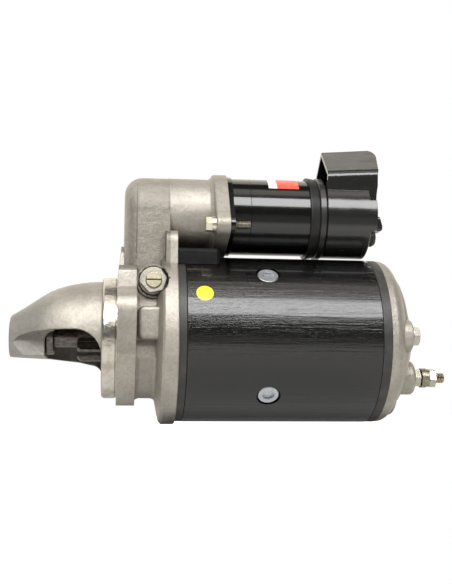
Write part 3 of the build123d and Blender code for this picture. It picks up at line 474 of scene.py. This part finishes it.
MATERIALS = {
    "cast_aluminium": cast_aluminium(),
    "bronze": metal("bronze", (0.50, 0.33, 0.16), (0.34, 0.21, 0.10), 0.38),
    "bare_steel": metal("bare_steel", (0.19, 0.172, 0.155), (0.10, 0.088, 0.078), 0.32, (0.3, 1, 1)),
    "spring_steel": metal("spring_steel", (0.30, 0.30, 0.31), (0.16, 0.16, 0.17), 0.3),
    "zinc_steel": metal("zinc_steel", (0.60, 0.58, 0.51), (0.44, 0.42, 0.35), 0.34),
    "yoke_paint": enamel("yoke_paint", 0.9, 1.0),
    "solenoid_paint": enamel("solenoid_paint", 0.06, 0.10),
    "laminated_iron": laminated_iron(),
    "copper": metal("copper", (0.62, 0.27, 0.13), (0.45, 0.17, 0.08), 0.33, (0.2, 1, 1)),
    "terminal_brass": metal("terminal_brass", (0.72, 0.55, 0.24), (0.55, 0.40, 0.17), 0.26),
    "insulation": matt("insulation", (0.14, 0.055, 0.024), (0.09, 0.035, 0.018), 0.45),
    "carbon": matt("carbon", (0.022, 0.021, 0.02), (0.04, 0.036, 0.033), 0.55),
    "seal_rubber": matt("seal_rubber", (0.026, 0.0255, 0.023), (0.040, 0.039, 0.035), 0.45),
    "cap_plastic": moulding("cap_plastic", (0.012, 0.0115, 0.011), 0.42),
    "cover_plastic": moulding("cover_plastic"),
    "sticker_yellow": sticker_yellow(),
    "label_paper": label_paper(),
}
SPECIAL = {
    "lever_gap_grommet": matt("black_rubber", (0.006, 0.006, 0.006), (0.012, 0.0115, 0.011), 0.5, 0.12),
    "solenoid_clamp_ring": matt("clamp_black", (0.010, 0.010, 0.0095), (0.016, 0.016, 0.015), 0.42, 0.35),
    "field_terminal_washers": metal("worn_zinc", (0.42, 0.38, 0.30), (0.24, 0.21, 0.16), 0.38),
    "pole_screws": metal("bright_zinc", (0.72, 0.74, 0.78), (0.56, 0.58, 0.62), 0.4),
    "pivot_pin": metal("yellow_zinc", (0.74, 0.68, 0.50), (0.58, 0.52, 0.37), 0.42),
    "pivot_lock_nut": metal("grey_zinc", (0.66, 0.63, 0.55), (0.48, 0.45, 0.38), 0.44),
    "field_terminal_stud": threaded(
        "stud_thread", (0.72, 0.60, 0.40), (0.20, 0.13, 0.07), STUD_THREAD_X, STUD_PITCH
    ),
    "solenoid_bolts": threaded(
        "bolt_thread", (0.80, 0.76, 0.62), (0.24, 0.20, 0.13), SOLENOID_BOLT_THREAD_X, SOLENOID_BOLT_PITCH
    ),
}


def dress():
    """Gives every CAD node its material: by its own name if it is special, else by its slot."""
    for entry in frame["record"]["subparts"]:
        obj = frame["nodes"][entry["node"]]
        obj.data.materials.clear()
        obj.data.materials.append(SPECIAL.get(entry["node"], MATERIALS[entry["material_slot"]]))


# ---- coil springs in place of the CAD springs ----
def coil_points(size):
    """Rings of points round the wire, from x0 to x1."""
    x0, x1, turns = size["x0"], size["x1"], size["turns"]
    mean_r, wire_r = size["mean_r"], size["wire_r"]
    along = STEPS_PER_TURN * turns
    lead = (x1 - x0 - 2 * wire_r) / turns
    points = []
    for i in range(along + 1):
        angle = 2 * pi * turns * i / along
        centre_x = x0 + wire_r + lead * turns * i / along
        for k in range(WIRE_SIDES):
            turn = 2 * pi * k / WIRE_SIDES
            reach = mean_r + wire_r * cos(turn)
            x = centre_x + wire_r * sin(turn)
            points.append((x, reach * cos(angle), SOLENOID_Z + reach * sin(angle)))
    return points


def coil_faces(along):
    """Quads between neighbouring rings, and a cap on each end of the wire."""
    faces = []
    for i in range(along):
        for k in range(WIRE_SIDES):
            a, b = i * WIRE_SIDES + k, i * WIRE_SIDES + (k + 1) % WIRE_SIDES
            faces.append((a, b, b + WIRE_SIDES, a + WIRE_SIDES))
    faces.append(tuple(range(WIRE_SIDES)))
    faces.append(tuple(reversed(range(along * WIRE_SIDES, (along + 1) * WIRE_SIDES))))
    return faces


def coil(size):
    """Round-wire spring along X."""
    mesh = bpy.data.meshes.new(size["name"])
    mesh.from_pydata(coil_points(size), [], coil_faces(STEPS_PER_TURN * size["turns"]))
    mesh.shade_smooth()
    mesh.materials.append(MATERIALS["spring_steel"])
    obj = bpy.data.objects.new(size["name"], mesh)
    bpy.context.collection.objects.link(obj)
    return obj


def fit_springs():
    """Puts each coil in its CAD spring's place, fixed to the frame, and hides the CAD spring."""
    for size in SPRINGS:
        node, joint, travel = size["cad_node"], size["joint"], size["travel"]
        spring = coil(size)
        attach(spring, "frame")
        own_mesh(spring)
        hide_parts(node)


# ---- studio ----
def sheet(name, corners, material):
    """Flat studio surface that isn't part of the motor."""
    mesh = bpy.data.meshes.new(name)
    mesh.from_pydata(corners, [], [range(len(corners))])
    mesh.materials.append(material)
    obj = bpy.data.objects.new(name, mesh)
    bpy.context.collection.objects.link(obj)


def make_floor():
    """Plain floor just under the motor: white to the camera, pale near the motor, dark before it."""
    tree = Tree("studio_floor")
    pale = tree.mix(tree.noise(3, 2), (0.50, 0.50, 0.49), (0.53, 0.53, 0.52))
    colour = tree.mix(tree.step(tree.y, -0.26, -0.42), pale, (0.03, 0.03, 0.03))
    path = tree.add("ShaderNodeLightPath").outputs
    glow = tree.blend(path["Is Diffuse Ray"], FLOOR_GLOW, FLOOR_FILL)
    glow = tree.blend(path["Is Camera Ray"], glow, 1.0)
    material = tree.finish(
        Base_Color=colour,
        Roughness=0.9,
        Emission_Color=(1.0, 1.0, 1.0),
        Emission_Strength=glow,
    )
    z = CAD_BOX[0][2] - FLOOR_GAP
    signs = ((-1, -1), (1, -1), (1, 1), (-1, 1))
    sheet("floor", [(FLOOR_REACH * x, FLOOR_REACH * y, z) for x, y in signs], material)


def area_light(name, place, target, size, radiance):
    """Rectangular light whose brightness is given as the radiance of its face."""
    data = bpy.data.lights.new(name, "AREA")
    data.shape = "RECTANGLE"
    data.size, data.size_y = size
    data.energy = radiance * pi * size[0] * size[1]
    light = bpy.data.objects.new(name, data)
    toward = Vector(target) - Vector(place)
    turn = toward.to_track_quat("-Z", "Y").to_matrix().to_4x4()
    light.matrix_world = Matrix.Translation(place) @ turn
    bpy.context.collection.objects.link(light)


def world_node(tree, kind, inputs, **settings):
    """First output of a new node; each input is a value or another node's output."""
    made = tree.nodes.new(kind)
    for name, value in settings.items():
        setattr(made, name, value)
    for key, value in inputs.items():
        if isinstance(value, bpy.types.NodeSocket):
            tree.links.new(value, made.inputs[key])
        else:
            made.inputs[key].default_value = value
    return made.outputs[0]


def open_sky(tree):
    """1 in the directions that are open and white, 0 toward the dark room."""
    split = tree.nodes.new("ShaderNodeSeparateXYZ")
    tree.links.new(tree.nodes.new("ShaderNodeTexCoord").outputs["Generated"], split.inputs[0])

    def ramp(axis, span):
        inputs = {"Value": split.outputs[axis], "From Min": span[0], "From Max": span[1]}
        return world_node(tree, "ShaderNodeMapRange", inputs, interpolation_type="SMOOTHSTEP")

    behind = ramp("Y", SKY_BEHIND_Y)
    before = ramp("Y", SKY_BEFORE_Y)
    high = ramp("Z", SKY_ABOVE_Z)
    above = world_node(tree, "ShaderNodeMath", {0: before, 1: high}, operation="MULTIPLY")
    return world_node(tree, "ShaderNodeMath", {0: behind, 1: above}, operation="MAXIMUM")


def make_world():
    """White to the camera; bright above and behind the motor, dark on the camera's side."""
    world = bpy.data.worlds.new("studio")
    bpy.context.scene.world = world
    world.use_nodes = True
    tree = world.node_tree
    path = tree.nodes.new("ShaderNodeLightPath").outputs
    dim = world_node(tree, "ShaderNodeMix", {0: path["Is Diffuse Ray"], 2: DARK_ROOM, 3: FILL})
    room = world_node(tree, "ShaderNodeMix", {0: open_sky(tree), 2: dim, 3: SKY})
    strength = world_node(tree, "ShaderNodeMix", {0: path["Is Camera Ray"], 2: room, 3: 1.0})
    tint = tree.nodes.new("ShaderNodeMix")
    tint.data_type = "RGBA"
    tint.inputs[6].default_value = WARM_ROOM
    tint.inputs[7].default_value = (1, 1, 1, 1)
    tree.links.new(path["Is Camera Ray"], tint.inputs[0])
    background = tree.nodes["Background"]
    tree.links.new(tint.outputs[2], background.inputs["Color"])
    tree.links.new(strength, background.inputs["Strength"])


# ---- assembly of the picture ----
dress()
fit_springs()
make_camera()
make_floor()
make_world()
area_light("softbox", SOFTBOX_PLACE, SOFTBOX_AIM, SOFTBOX_SIZE, SOFTBOX_RADIANCE)
bpy.context.scene.view_settings.view_transform = "Standard"
